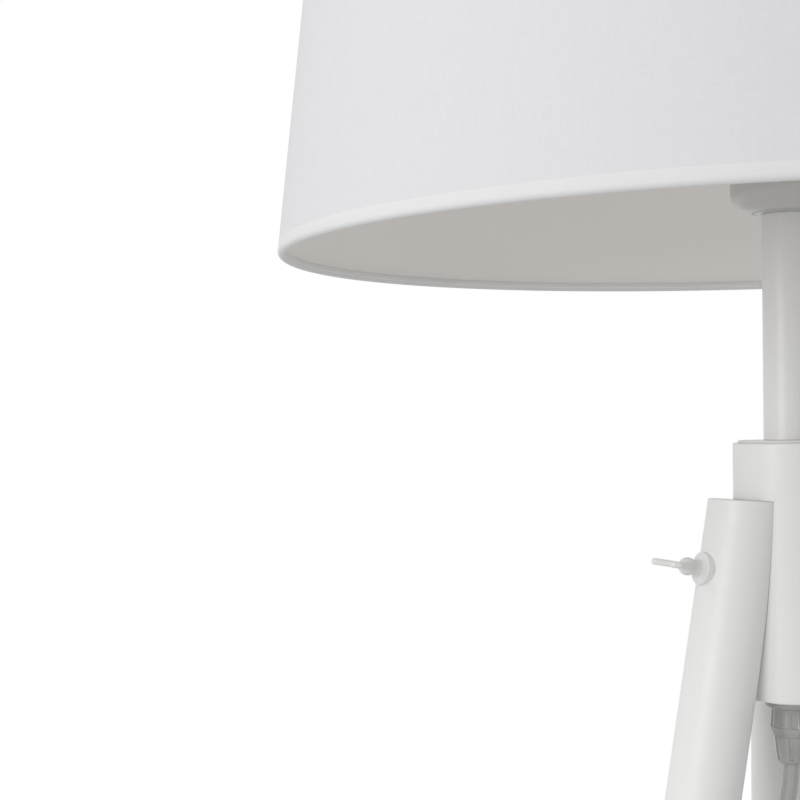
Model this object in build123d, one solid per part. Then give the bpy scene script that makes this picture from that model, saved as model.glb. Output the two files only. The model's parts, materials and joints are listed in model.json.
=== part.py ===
"""Tripod floor lamp: painted dowel legs in a grooved hub, a short stem, a tapered fabric shade.

Millimetres, +Z up. The origin is on the floor, under the lamp's upright axis.
One leg stands at the back (+Y) and two at the front (-Y).
"""
import math
import os

from build123d import *

# Fits
moving_gap = 0.3
thread_gap = 0.05
past_face = 1.0

# Hub
hub_top = 1094.0
hub_radius = 22.5
hub_height = 105.0
hub_edge = 0.8
hub_bore = 4.0
hub_insert_radius = 8.0
groove_gap = 0.1
groove_end_gap = 0.3
groove_mouth_splay = 2.4

# Legs and foot pads
leg_radius = 15.0
leg_splay = 9.89
leg_offset = 16.35
leg_start = 24.8
leg_top_tilt = 4.0
leg_edge = 0.8
leg_angles = {"left": 210.0, "right": 330.0, "back": 90.0}
pad_thickness = 4.0
pad_radius = 12.5
floor_size = 900.0

# Wing screws and their inserts
screw_along = 54.0
screw_radius = 2.5
screw_flange_radius = 6.8
screw_flange_thickness = 1.3
screw_flange_edge = 0.3
screw_ball_radius = 3.7
screw_ball_reach = 7.7
screw_neck_radius = 3.0
wing_reach = 23.5
wing_half = [(5.0, 2.4), (9.0, 5.6), (19.5, 10.8), (wing_reach, 8.6), (wing_reach, 6.0), (14.0, 1.6)]
wing_corner = 1.1
wing_thickness = 2.7
wing_edge = 0.9
wing_turns = {"left": 0.0, "right": 24.0, "back": -35.0}
insert_radius = 3.75
insert_length = 5.0
pocket_mouth = 2.0
pocket_end = 0.5

# Stem
plate_radius = 20.5
plate_thickness = 1.0
stem_radius = 10.0
stem_wall = 1.5
stem_top = 94.0
bush_length = 12.0
nipple_radius = 5.0
nipple_bore = 4.0
nipple_in_hub = 18.0
grip_nipple_reach = 15.0

# Cord grip
flange_nut_radius = 10.7
flange_nut_height = 6.6
flange_nut_round = 3.0
collar_end = 122.5
collar_top_radius = 8.2
collar_low_radius = 8.8
collar_round_height = 3.4
collar_round_middle = (0.4, 1.2)
collar_round_inset = 1.6
collar_ribs = 20
rib_radius = 0.5
nose_end = 134.0
nose_top_radius = 7.2
nose_low_radius = 6.0
nose_tip_height = 1.5
nose_tip_inset = 1.3

# Lampholder
cup_radius = 22.5
cup_height = 50.0
cup_flat = 15.5
cup_wall = 1.6
holder_nut_radius = 8.0
holder_nut_height = 3.0
core_radius = 17.0
core_rise = 5.0
core_rim_height = 2.0
core_rim_gap = 0.1
core_depth = 25.5
seat_lift = 6.5
socket_radius = 13.4
contact_wall = 0.55
contact_low = 4.0
contact_high = 2.0
centre_contact_radius = 3.5
centre_contact_height = 2.6
terminal_radius = 2.0
terminal_length = 5.5
terminal_drop = 9.0
skirt_flange = 2.0
skirt_radius = 19.75
skirt_bore = 17.1
skirt_height = 21.5
skirt_edge = 0.8

# Bulb
bulb_radius = 30.0
bulb_wall = 1.0
bulb_middle = 54.0
bulb_neck_radius = 14.4
bulb_neck_height = 16.0
bulb_swell_radius = 24.2
bulb_swell_height = 36.0
bulb_cap_radius = 13.1
bulb_cap_low = 7.0
insulator_low_radius = 4.5
insulator_top_radius = 10.0
bulb_tip_radius = 4.0
bulb_tip_height = 1.5

# Shade
shade_bottom = 78.9
shade_height = 250.0
shade_radius = 210.0
shade_taper = 0.115
fabric_thickness = 0.7
lining_thickness = 0.6
wire_radius = 1.55
wire_gap = 0.05
hem_thickness = 0.7
hem_outside = 5.8
hem_inside = 6.2
hem_flat = 1.2
hem_rise = 1.0
hem_clearance = 0.3
spoke_radius = 1.45
spoke_weld = 1.5
spoke_bend = 14.0
spoke_bend_radius = 16.0
spoke_end_drop = 0.2
gallery_radius = 27.0
gallery_bore = 20.2
gallery_thickness = 1.5
ring_nut_radius = 25.0
ring_nut_height = 8.7
ring_nut_edge = 0.8
ring_nut_notches = 12
notch_radius = 2.4
notch_outset = 1.2

# Lead, coil and tie
cord_radius = 3.5
lead_in_grip = 4.0
lead_in_holder = 5.0
arc_share = 0.45
coil_turns = 3.5
coil_mean_radius = 38.5
coil_pitch = 7.5
climb_turns = 0.5
coil_lift = 1.2
coil_centre_x = 100.0
tie_wrap = 0.8
tie_width = 9.0
tie_side_gap = 0.5
tie_top_gap = 0.3
tie_low_gap = 0.2
tie_corner = 2.2

# Foot switch
switch_x = 9.0
switch_y = 85.0
switch_length = 78.0
switch_width = 40.0
switch_corner = 14.0
switch_wall = 2.0
switch_split = 11.0
switch_height = 22.0
switch_base_edge = 1.0
switch_cover_round = 5.0
switch_cord_height = 6.5
switch_post_spots = [(22.0, 12.5), (-22.0, -12.5)]
switch_post_radius = 4.0
switch_screw_radius = 2.0
switch_screw_sink = 0.3
switch_head_radius = 3.5
switch_head_height = 1.6
switch_screw_rise = 5.0
switch_block_length = 28.0
switch_block_width = 18.0
spring_radius = 4.5
spring_wall = 1.0
spring_height = 3.5
button_radius = 12.0
button_top = 25.5
button_bottom = 15.5
button_round = 2.5
button_rim = 1.8
button_rim_height = 1.5

# Plug
plug_thickness = 13.7
plug_width = 35.3
plug_length = 35.0
plug_neck_width = 14.0
plug_shoulder = 14.0
plug_corner = 3.0
plug_edge = 2.0
plug_boot_length = 23.0
plug_boot_start = 45.0
boot_wide_radius = 6.0
boot_slim_radius = 4.6
pin_spacing = 18.6
pin_radius = 2.0
pin_length = 19.0
pin_edge = 0.8
pin_sleeve_length = 10.0
pin_sleeve_wall = 0.55
pin_sleeve_inset = 0.05

# The hanging lead's route, from inside the cord grip to the foot switch, with z above the floor.
lead_exit = hub_top - nose_end
floor_line = cord_radius + 0.1
drop_route = [
    (0, 0, lead_exit + lead_in_grip),
    (0, 0, lead_exit - 3),
    (-2.2, -0.5, lead_exit - 17),
    (-7, -2, lead_exit - 44),
    (-15, -4.5, lead_exit - 98),
    (-24, -8, lead_exit - 190),
    (-29, -11, 668),
    (-28, -13, 568),
    (-22, -15, 468),
    (-15, -16, 370),
    (-10, -18, 274),
    (-11, -23, 186),
    (-22, -34, 112),
    (-48, -47, 54),
    (-88, -52, 14),
    (-130, -42, floor_line),
    (-158, -8, floor_line),
    (-156, 36, floor_line),
    (-126, 68, floor_line + 0.2),
    (-84, 82, switch_cord_height - 0.6),
    (-56, switch_y, switch_cord_height),
    (switch_x - switch_length / 2, switch_y, switch_cord_height),
]

# Derived places
splay = math.radians(leg_splay)
hub_low = hub_top - hub_height
stem_low = hub_top + plate_thickness
holder_base = hub_top + stem_top
cup_top = holder_base + cup_height
core_floor = cup_top - core_depth
bulb_seat = cup_top + seat_lift
shade_low = hub_top + shade_bottom
gallery_low = cup_top + skirt_flange
gallery_high = gallery_low + gallery_thickness
nipple_hole = nipple_radius + thread_gap
on_floor = (Align.CENTER, Align.CENTER, Align.MIN)
under_face = (Align.CENTER, Align.CENTER, Align.MAX)
outside_face = (Align.MIN, Align.CENTER, Align.CENTER)

parts = {}


def leg_place(angle, along, lean=leg_splay):
    """A plane on a leg's axis: its z runs down with an outward lean and its x points outwards."""
    turn = math.radians(angle)
    slant = math.radians(lean)
    outwards = Vector(math.cos(turn), math.sin(turn), 0)
    down = outwards * math.sin(slant) - Vector(0, 0, math.cos(slant))
    across = outwards * math.cos(slant) + Vector(0, 0, math.sin(slant))
    reach = leg_offset + along * math.sin(splay)
    height = hub_top - along * math.cos(splay)
    return Plane(origin=outwards * reach + Vector(0, 0, height), x_dir=across, z_dir=down)


def upright(radius, low, high, bore=0.0):
    """A round bar or tube on the lamp's axis between two heights."""
    body = Pos(0, 0, low) * Cylinder(radius, high - low, align=on_floor)
    if bore:
        body -= Pos(0, 0, low - past_face) * Cylinder(bore, high - low + 2 * past_face, align=on_floor)
    return body


def turned(outline):
    """A solid turned about the lamp's axis from a closed line in the XZ plane."""
    return revolve(make_face(outline), Axis.Z)


def profile(points):
    """A closed outline of straight lines through (radius, height) points."""
    return Polyline(*[(radius, 0, height) for radius, height in points], close=True)


def shade_at(height, inset):
    """A point of the shade's section at a height above its lower edge, inset from the outside."""
    return shade_radius - shade_taper * height - inset, shade_low + height


def above_leg_end():
    """The space above a leg's upper end, which is cut almost level, in the leg's own frame."""
    size = 5 * hub_height
    return Rot(0, leg_top_tilt - leg_splay, 0) * Box(size, size, size, align=under_face)


def make_legs():
    length = hub_top / math.cos(splay) - leg_start + 2 * leg_radius
    below_legs = Pos(0, 0, pad_thickness) * Box(floor_size, floor_size, length, align=under_face)
    pad_slab = Box(floor_size, floor_size, pad_thickness, align=on_floor)
    for name, angle in leg_angles.items():
        dowel = Pos(0, 0, -leg_radius) * Cylinder(leg_radius, length + leg_radius, align=on_floor)
        dowel -= above_leg_end()
        dowel = fillet(dowel.edges().group_by(Axis.Z)[0], leg_edge)
        hole = Rot(0, 90, 0) * Cylinder(screw_radius + moving_gap, 3 * leg_radius)
        dowel -= Pos(0, 0, screw_along - leg_start) * hole
        place = leg_place(angle, leg_start).location
        parts["leg_" + name] = (place * dowel) - below_legs
        parts["foot_pad_" + name] = (place * Cylinder(pad_radius, length, align=on_floor)) & pad_slab


def make_hub():
    hub = upright(hub_radius, hub_low, hub_top)
    hub = fillet(hub.edges().filter_by(GeomType.CIRCLE), hub_edge)
    hub -= upright(hub_bore, hub_low - past_face, hub_top + past_face)
    insert_hole = hub_insert_radius + thread_gap
    hub -= upright(insert_hole, hub_top - nipple_in_hub, hub_top + past_face)
    hub -= upright(insert_hole, hub_low - past_face, hub_low + nipple_in_hub)
    groove_radius = leg_radius + groove_gap
    pocket_length = pocket_mouth + insert_length + pocket_end
    inserts = []
    for angle in leg_angles.values():
        end_place = leg_place(angle, leg_start - groove_end_gap).location
        groove = end_place * Cylinder(groove_radius, 4 * hub_height)
        low_place = leg_place(angle, hub_height / math.cos(splay), groove_mouth_splay).location
        beside_leg = low_place * Pos(-groove_radius / math.cos(splay), 0, 0)
        groove += beside_leg * Box(hub_radius, 2 * groove_radius, 4 * hub_height, align=outside_face)
        hub -= groove - end_place * above_leg_end()
        inwards = leg_place(angle, screw_along).location * Pos(-groove_radius, 0, 0) * Rot(0, -90, 0)
        pocket = Cylinder(insert_radius + thread_gap, pocket_length, align=on_floor)
        hub -= inwards * Pos(0, 0, -pocket_mouth) * pocket
        bush = Cylinder(insert_radius, insert_length, align=on_floor)
        bush -= Cylinder(screw_radius + thread_gap, 3 * insert_length)
        inserts.append(inwards * bush)
    parts["hub"] = hub
    parts["leg_inserts"] = Compound(children=inserts)
    parts["hub_top_insert"] = upright(hub_insert_radius, hub_top - nipple_in_hub, hub_top, nipple_hole)
    parts["hub_bottom_insert"] = upright(hub_insert_radius, hub_low, hub_low + nipple_in_hub, nipple_hole)


def make_wings():
    """The two wings of a screw in one flat piece, with their reach along Z from the leg's face."""
    right = [(side, reach) for reach, side in wing_half]
    left = [(-side, reach) for side, reach in reversed(right)]
    sketch = make_face(Polyline(*right, *left, close=True))
    sketch = fillet(sketch.vertices(), wing_corner)
    wings = extrude(Plane.XZ * sketch, wing_thickness / 2, both=True)
    wings = fillet(wings.faces().sort_by(Axis.Y)[0].edges(), wing_edge)
    return fillet(wings.faces().sort_by(Axis.Y)[-1].edges(), wing_edge)


def make_wing_screws():
    face = leg_radius + moving_gap
    shank = face + leg_radius + insert_length - moving_gap
    for name, angle in leg_angles.items():
        screw = Cylinder(screw_radius, shank, align=under_face)
        flange = Cylinder(screw_flange_radius, screw_flange_thickness, align=on_floor)
        screw += chamfer(flange.edges(), screw_flange_edge)
        screw += Cylinder(screw_neck_radius, screw_ball_reach, align=on_floor)
        screw += Pos(0, 0, screw_ball_reach) * Sphere(screw_ball_radius)
        screw += Rot(0, 0, wing_turns[name] + 90) * make_wings()
        outwards = Pos(face, 0, 0) * Rot(0, 90, 0)
        parts["wing_screw_" + name] = leg_place(angle, screw_along).location * outwards * screw


def make_stem():
    bush_radius = stem_radius - stem_wall - thread_gap
    lower_end = stem_low + bush_length
    upper_start = holder_base - bush_length
    parts["hub_top_plate"] = upright(plate_radius, hub_top, stem_low, nipple_hole)
    parts["stem_tube"] = upright(stem_radius, stem_low, holder_base, stem_radius - stem_wall)
    parts["stem_lower_bush"] = upright(bush_radius, stem_low, lower_end, nipple_hole)
    parts["stem_upper_bush"] = upright(bush_radius, upper_start, holder_base, nipple_hole)
    parts["stem_nipple"] = upright(nipple_radius, hub_top - nipple_in_hub, lower_end, nipple_bore)
    parts["grip_nipple"] = upright(
        nipple_radius, hub_low - grip_nipple_reach, hub_low + nipple_in_hub, nipple_bore
    )
    parts["lamp_lead"] = upright(cord_radius, lead_exit + lead_in_grip, holder_base + lead_in_holder)


def make_cord_grip():
    nut_low = hub_low - flange_nut_height
    nut = upright(flange_nut_radius, nut_low, hub_low)
    nut = fillet(nut.edges().group_by(Axis.Z)[0], flange_nut_round)
    parts["flange_nut"] = nut - upright(nipple_hole, nut_low - past_face, hub_low + past_face)

    collar_low = hub_top - collar_end
    round_start = collar_low + collar_round_height
    side_low = (collar_low_radius, 0, round_start)
    bulge_inset, bulge_height = collar_round_middle
    bulge = (collar_low_radius - bulge_inset, 0, collar_low + bulge_height)
    base = (collar_low_radius - collar_round_inset, 0, collar_low)
    bore_low = (nipple_hole, 0, collar_low)
    side_top = (collar_top_radius, 0, nut_low)
    outline = Curve() + [
        Polyline(bore_low, (nipple_hole, 0, nut_low), side_top, side_low),
        ThreePointArc(side_low, bulge, base),
        Line(base, bore_low),
    ]
    collar = turned(outline)
    rib_ring = (collar_top_radius + collar_low_radius) / 2 - rib_radius / 2
    rib = Pos(rib_ring, 0, round_start) * Cylinder(rib_radius, nut_low - round_start, align=on_floor)
    for index in range(collar_ribs):
        collar += Rot(0, 0, 360 * index / collar_ribs) * rib
    parts["cord_grip_collar"] = collar

    cord_hole = cord_radius + thread_gap
    nose = profile(
        [
            (cord_hole, lead_exit),
            (cord_hole, collar_low),
            (nose_top_radius, collar_low),
            (nose_low_radius, lead_exit + nose_tip_height),
            (nose_low_radius - nose_tip_inset, lead_exit),
        ]
    )
    parts["cord_grip_nose"] = turned(nose)


def make_lampholder():
    corner = cup_radius - cup_flat
    inner = cup_radius - cup_wall
    cup = upright(cup_radius, holder_base, cup_top)
    cup = fillet(cup.edges().group_by(Axis.Z)[0], corner)
    hollow = upright(inner, holder_base + cup_wall, cup_top + past_face)
    hollow = fillet(hollow.edges().group_by(Axis.Z)[0], corner - cup_wall)
    parts["lampholder_cup"] = cup - hollow - upright(nipple_hole, holder_base - past_face, cup_top)

    nut_low = holder_base + cup_wall
    nipple_end = nut_low + holder_nut_height + past_face
    nut = Pos(0, 0, nut_low) * extrude(RegularPolygon(holder_nut_radius, 6), holder_nut_height)
    parts["holder_nut"] = nut - upright(nipple_hole, holder_base, nipple_end)
    parts["holder_nipple"] = upright(nipple_radius, holder_base - bush_length, nipple_end, nipple_bore)

    shell_radius = socket_radius + contact_wall
    core = upright(core_radius, nut_low + core_rise, bulb_seat)
    core += upright(inner - core_rim_gap, cup_top - core_rim_height, cup_top)
    core -= upright(shell_radius + thread_gap, core_floor, bulb_seat + past_face)
    screws = []
    for side in (-1, 1):
        place = Pos(side * core_radius, 0, core_floor - terminal_drop) * Rot(0, -90 * side, 0)
        hole_length = terminal_length + pocket_end
        core -= place * Cylinder(terminal_radius + thread_gap, hole_length, align=on_floor)
        screws.append(place * Cylinder(terminal_radius, terminal_length, align=on_floor))
    parts["lampholder_core"] = core
    parts["terminal_screws"] = Compound(children=screws)
    parts["contact_shell"] = upright(
        shell_radius, core_floor + contact_low, bulb_seat - contact_high, socket_radius
    )
    parts["centre_contact"] = upright(centre_contact_radius, core_floor, core_floor + centre_contact_height)

    skirt_top = cup_top + skirt_height
    skirt = upright(cup_radius, cup_top, gallery_low)
    thread = upright(skirt_radius, gallery_low, skirt_top)
    skirt += chamfer(thread.edges().group_by(Axis.Z)[-1], skirt_edge)
    parts["lampholder_skirt"] = skirt - upright(skirt_bore, cup_top - past_face, skirt_top + past_face)


def bulb_outline(inset):
    """Half of the bulb's section, inset by a wall: a short neck that swells into a round head."""
    middle = bulb_seat + bulb_middle
    head = bulb_radius - inset
    diagonal = head * math.sqrt(0.5)
    base = (0, 0, bulb_seat)
    foot = (bulb_cap_radius - inset, 0, bulb_seat)
    throat = (bulb_neck_radius - inset, 0, bulb_seat + bulb_neck_height)
    swell = (bulb_swell_radius - inset, 0, bulb_seat + bulb_swell_height)
    side = (head, 0, middle)
    crown = (0, 0, middle + head)
    return Curve() + [
        Polyline(base, foot, throat),
        ThreePointArc(throat, swell, side),
        ThreePointArc(side, (diagonal, 0, middle + diagonal), crown),
        Line(crown, base),
    ]


def make_bulb():
    parts["bulb_globe"] = turned(bulb_outline(0)) - turned(bulb_outline(bulb_wall))
    tip_low = core_floor + centre_contact_height + moving_gap
    tip_top = tip_low + bulb_tip_height
    cap_low = core_floor + bulb_cap_low
    parts["bulb_cap"] = upright(bulb_cap_radius, cap_low, bulb_seat)
    cone = [(0, tip_top), (insulator_low_radius, tip_top), (insulator_top_radius, cap_low), (0, cap_low)]
    parts["bulb_insulator"] = turned(profile(cone))
    parts["bulb_tip"] = upright(bulb_tip_radius, tip_low, tip_top)


def shade_wall(low, high, outside, inside):
    """A band of the shade's wall between two heights and two insets."""
    corners = [shade_at(low, outside), shade_at(high, outside), shade_at(high, inside), shade_at(low, inside)]
    return turned(profile(corners))


def wire_ring(flip):
    """The radius and height of the wire hoop in a hem; flip is 1 at the lower edge, -1 at the upper."""
    edge = 0 if flip > 0 else shade_height
    roll = wire_radius + wire_gap + hem_thickness
    return shade_at(edge + flip * roll, roll)


def hem(flip):
    """A fabric hem rolled round a wire hoop, with a short leg outside the wall and one inside it."""
    ring_r, ring_z = wire_ring(flip)
    bore = wire_radius + wire_gap
    roll = bore + hem_thickness
    wall = hem_thickness + fabric_thickness + lining_thickness

    def spot(inset, height):
        lean = flip * shade_taper * (height - roll)
        return ring_r + roll - inset - lean, 0, ring_z + flip * (height - roll)

    def half_round(radius):
        return (ring_r + radius, 0, ring_z), (ring_r, 0, ring_z - flip * radius), (ring_r - radius, 0, ring_z)

    outside = half_round(roll)
    inside = half_round(bore)
    lean_start = (ring_r - roll, 0, ring_z + flip * hem_rise)
    back_start = (ring_r - bore, 0, ring_z + flip * hem_rise)
    leg_low = spot(wall + hem_thickness, hem_inside - hem_flat)
    leg_high = spot(wall + hem_thickness, hem_inside)
    back_high = spot(wall, hem_inside)
    back_low = spot(wall, hem_inside - hem_flat)
    line = Curve() + [
        Line(spot(0, hem_outside), outside[0]),
        ThreePointArc(*outside),
        Polyline(outside[2], lean_start, leg_low, leg_high, back_high, back_low, back_start, inside[2]),
        ThreePointArc(*reversed(inside)),
        Polyline(inside[0], spot(hem_thickness, hem_outside), spot(0, hem_outside)),
    ]
    return turned(line)


def spoke(angle, radius):
    """A bent wire from the gallery ring up to the top hoop."""
    top_r, top_z = wire_ring(-1)
    start = (gallery_radius - spoke_weld, 0, gallery_low)
    bend = (gallery_radius + spoke_bend, 0, gallery_low)
    end = (top_r, 0, top_z - spoke_end_drop)
    path = FilletPolyline(start, bend, end, radius=spoke_bend_radius)
    wire = sweep(Plane(origin=path @ 0, z_dir=path % 0) * Circle(radius), path)
    return Rot(0, 0, angle) * wire


def make_shade():
    edge = 2 * wire_radius + hem_thickness + hem_clearance
    film = hem_thickness + fabric_thickness
    parts["shade_fabric"] = shade_wall(edge, shade_height - edge, hem_thickness, film)
    parts["shade_lining"] = shade_wall(edge, shade_height - edge, film, film + lining_thickness)
    parts["shade_lower_hem"] = hem(1)
    low_r, low_z = wire_ring(1)
    parts["shade_lower_ring"] = Pos(0, 0, low_z) * Torus(low_r, wire_radius)

    top_r, top_z = wire_ring(-1)
    upper_hem = hem(-1)
    spider = upright(gallery_radius, gallery_low, gallery_high, gallery_bore)
    spider += Pos(0, 0, top_z) * Torus(top_r, wire_radius)
    for angle in leg_angles.values():
        spider += spoke(angle, spoke_radius)
        upper_hem -= spoke(angle, spoke_radius + wire_gap)
    parts["shade_spider"] = spider
    parts["shade_upper_hem"] = upper_hem


def make_ring_nut():
    nut_low = gallery_high + moving_gap
    nut_high = nut_low + ring_nut_height
    nut = upright(ring_nut_radius, nut_low, nut_high)
    nut = chamfer(nut.edges().filter_by(GeomType.CIRCLE), ring_nut_edge)
    nut -= upright(skirt_radius + moving_gap, nut_low - past_face, nut_high + past_face)
    notch = upright(notch_radius, nut_low - past_face, nut_high + past_face)
    for index in range(ring_nut_notches):
        nut -= Rot(0, 0, 360 * index / ring_nut_notches) * Pos(ring_nut_radius + notch_outset, 0, 0) * notch
    parts["shade_ring_nut"] = nut


def make_cord_drop():
    route = [Vector(*point) for point in drop_route]
    radii = []
    for before, corner, after in zip(route, route[1:], route[2:]):
        turn = math.radians((corner - before).get_angle(after - corner))
        shorter = min((corner - before).length, (after - corner).length)
        radii.append(arc_share * shorter / math.tan(turn / 2))
    print("cord_drop radii", [round(radius) for radius in radii])
    path = FilletPolyline(*route, radius=radii)
    tube = sweep(Plane(origin=path @ 0, z_dir=path % 0) * Circle(cord_radius), path)
    expected = math.pi * cord_radius**2 * path.length
    print("cord_drop length", round(path.length, 1), "volume ratio", round(tube.volume / expected, 4))
    parts["cord_drop"] = tube


def coil_centre():
    outer = coil_mean_radius + coil_pitch * coil_turns / 4
    return Vector(coil_centre_x, switch_y - outer, 0)


def coil_point(turn):
    """The coil's centre line: in along the lower layer, up as it reverses, out along the upper one."""
    past_middle = turn - coil_turns / 2
    inner = coil_mean_radius - coil_pitch * coil_turns / 4
    radius = inner + coil_pitch * abs(past_middle)
    share = min(max(0.5 + past_middle / climb_turns, 0.0), 1.0)
    height = coil_lift + cord_radius + coil_pitch * share * share * (3 - 2 * share)
    angle = math.pi / 2 - 2 * math.pi * turn
    return coil_centre() + Vector(radius * math.cos(angle), radius * math.sin(angle), height)


def biarc(start, start_way, end, end_way):
    """Two arcs that leave one point and reach another along the given directions."""
    chord = end - start
    both = start_way + end_way
    square = 2 * (1 - start_way.dot(end_way))
    linear = chord.dot(both)
    if square < 1e-9:
        reach = chord.dot(chord) / (2 * linear)
    else:
        reach = (math.sqrt(linear**2 + square * chord.dot(chord)) - linear) / square
    joint = (start + start_way * reach + end - end_way * reach) / 2
    first = TangentArc(start, joint, tangent=start_way)
    return [first, TangentArc(joint, end, tangent=first % 1)]


def make_cord_coil():
    quarters = round(4 * coil_turns)
    east = Vector(1, 0, 0)
    west = Vector(-1, 0, 0)
    step = 1e-4
    stations = []
    for index in range(quarters + 1):
        turn = index / 4
        way = coil_point(turn + step) - coil_point(turn - step)
        stations.append((coil_point(turn), way.normalized()))
    stations[0] = (stations[0][0], east)
    stations[-1] = (stations[-1][0], west)
    inlet = Vector(switch_x + switch_length / 2, switch_y, switch_cord_height)
    outlet = Vector(plug_boot_start, stations[-1][0].Y, plug_thickness / 2)
    straight = 2 * cord_radius
    stations.insert(0, (inlet + east * straight, east))
    stations.append((outlet - west * straight, west))
    edges = [Line(inlet, stations[0][0])]
    for (start, start_way), (end, end_way) in zip(stations, stations[1:]):
        edges += biarc(start, start_way, end, end_way)
    edges.append(Line(stations[-1][0], outlet))
    path = Wire([edge if isinstance(edge, Edge) else edge.edge() for edge in edges])
    tube = sweep(Plane(origin=inlet, z_dir=east) * Circle(cord_radius), path)
    parts["cord_coil"] = tube
    expected = math.pi * cord_radius**2 * path.length
    print("cord_coil length", round(path.length, 1), "volume ratio", round(tube.volume / expected, 4))
    print("cord_coil least gap", round(least_gap(), 2))


def least_gap():
    """The least gap between neighbouring turns, measured on points of the coil's centre line."""
    per_turn = 120
    points = [coil_point(index / per_turn) for index in range(round(coil_turns * per_turn) + 1)]
    closest = min(
        (points[one] - points[two]).length
        for one in range(0, len(points), 2)
        for two in range(one + per_turn // 2, len(points))
    )
    return closest - 2 * cord_radius


def make_coil_tie():
    width = coil_pitch * coil_turns / 2 + 2 * (cord_radius + tie_side_gap)
    low = coil_lift - tie_low_gap
    high = coil_lift + 2 * cord_radius + coil_pitch + tie_top_gap
    band = RectangleRounded(width + 2 * tie_wrap, high - low + 2 * tie_wrap, tie_corner + tie_wrap)
    band -= RectangleRounded(width, high - low, tie_corner)
    centre = coil_centre() + Vector(coil_mean_radius, 0, (low + high) / 2)
    across = Plane(origin=centre, x_dir=(1, 0, 0), z_dir=(0, 1, 0))
    parts["coil_tie"] = extrude(across * band, tie_width / 2, both=True)


def make_foot_switch():
    centre = Pos(switch_x, switch_y, 0)
    outline = RectangleRounded(switch_length, switch_width, switch_corner)
    inner_length = switch_length - 2 * switch_wall
    inner_width = switch_width - 2 * switch_wall
    hollow = RectangleRounded(inner_length, inner_width, switch_corner - switch_wall)
    posts = [Pos(x, y, 0) for x, y in switch_post_spots]
    screw_hole = switch_screw_radius + thread_gap

    base = extrude(outline, switch_split)
    base = chamfer(base.edges().group_by(Axis.Z)[0], switch_base_edge)
    base -= Pos(0, 0, switch_wall) * extrude(hollow, switch_split)
    for post in posts:
        base += post * Cylinder(switch_post_radius, switch_split, align=on_floor)
        base -= post * Cylinder(screw_hole, 3 * switch_height)
        base -= post * Cylinder(switch_head_radius + core_rim_gap, 2 * switch_wall)
    cord_hole = Rot(0, 90, 0) * Cylinder(cord_radius + thread_gap, 2 * switch_length)
    base -= Pos(0, 0, switch_cord_height) * cord_hole
    parts["switch_base"] = centre * base

    cover_height = switch_height - switch_split
    cover = extrude(outline, cover_height)
    cover = fillet(cover.edges().group_by(Axis.Z)[-1], switch_cover_round)
    cover -= extrude(hollow, cover_height - switch_wall)
    for post in posts:
        cover += post * Cylinder(switch_post_radius, cover_height - past_face, align=on_floor)
        cover -= post * Cylinder(screw_hole, 2 * (switch_screw_rise + past_face))
    cover -= Cylinder(button_radius + moving_gap, 4 * cover_height)
    parts["switch_cover"] = centre * Pos(0, 0, switch_split) * cover

    screw = Cylinder(switch_head_radius, switch_head_height, align=on_floor)
    screw += Cylinder(switch_screw_radius, switch_split + switch_screw_rise, align=on_floor)
    sunk = Pos(0, 0, switch_screw_sink)
    parts["switch_screws"] = Compound(children=[centre * post * sunk * screw for post in posts])

    block_top = button_bottom - spring_height
    block = Box(switch_block_length, switch_block_width, block_top - switch_wall, align=on_floor)
    parts["switch_block"] = centre * Pos(0, 0, switch_wall) * block
    spring = Cylinder(spring_radius, spring_height, align=on_floor)
    spring -= Cylinder(spring_radius - spring_wall, 3 * spring_height)
    parts["switch_spring"] = centre * Pos(0, 0, block_top) * spring

    leads = []
    block_end = switch_block_length / 2
    for side in (-1, 1):
        lead = Cylinder(cord_radius, switch_length / 2 - block_end, align=on_floor)
        place = Pos(side * block_end, 0, switch_cord_height) * Rot(0, 90 * side, 0)
        leads.append(centre * place * lead)
    parts["switch_leads"] = Compound(children=leads)

    button = Cylinder(button_radius, button_top - button_bottom, align=on_floor)
    button = fillet(button.edges().group_by(Axis.Z)[-1], button_round)
    button += Cylinder(button_radius + button_rim, button_rim_height, align=on_floor)
    parts["switch_button"] = centre * Pos(0, 0, button_bottom) * button


def make_plug():
    axis_y = coil_point(coil_turns).Y
    middle = plug_thickness / 2
    body_start = plug_boot_start - plug_boot_length
    boot = Cone(boot_wide_radius, boot_slim_radius, plug_boot_length, align=on_floor)
    parts["plug_boot"] = Pos(body_start, axis_y, middle) * Rot(0, 90, 0) * boot

    place = Pos(body_start, axis_y, 0)
    right = [(0, plug_neck_width / 2), (-plug_shoulder, plug_width / 2), (-plug_length, plug_width / 2)]
    left = [(x, -y) for x, y in reversed(right)]
    outline = fillet(make_face(Polyline(*right, *left, close=True)).vertices(), plug_corner)
    body = extrude(outline, plug_thickness)
    body = fillet(body.edges().group_by(Axis.Z)[0] + body.edges().group_by(Axis.Z)[-1], plug_edge)
    parts["plug_body"] = place * body

    sleeve_radius = pin_radius - pin_sleeve_inset
    core = sleeve_radius - pin_sleeve_wall
    pins = []
    sleeves = []
    for side in (-1, 1):
        spot = place * Pos(-plug_length, side * pin_spacing / 2, middle) * Rot(0, -90, 0)
        tip = Cylinder(pin_radius, pin_length - pin_sleeve_length, align=on_floor)
        tip = chamfer(tip.edges().group_by(Axis.Z)[-1], pin_edge)
        pin = Pos(0, 0, pin_sleeve_length) * tip
        pin += Cylinder(core, pin_length, align=on_floor)
        sleeve = Cylinder(sleeve_radius, pin_sleeve_length, align=on_floor)
        sleeve -= Cylinder(core, 3 * pin_sleeve_length)
        pins.append(spot * pin)
        sleeves.append(spot * sleeve)
    parts["plug_pins"] = Compound(children=pins)
    parts["plug_pin_sleeves"] = Compound(children=sleeves)


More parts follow.
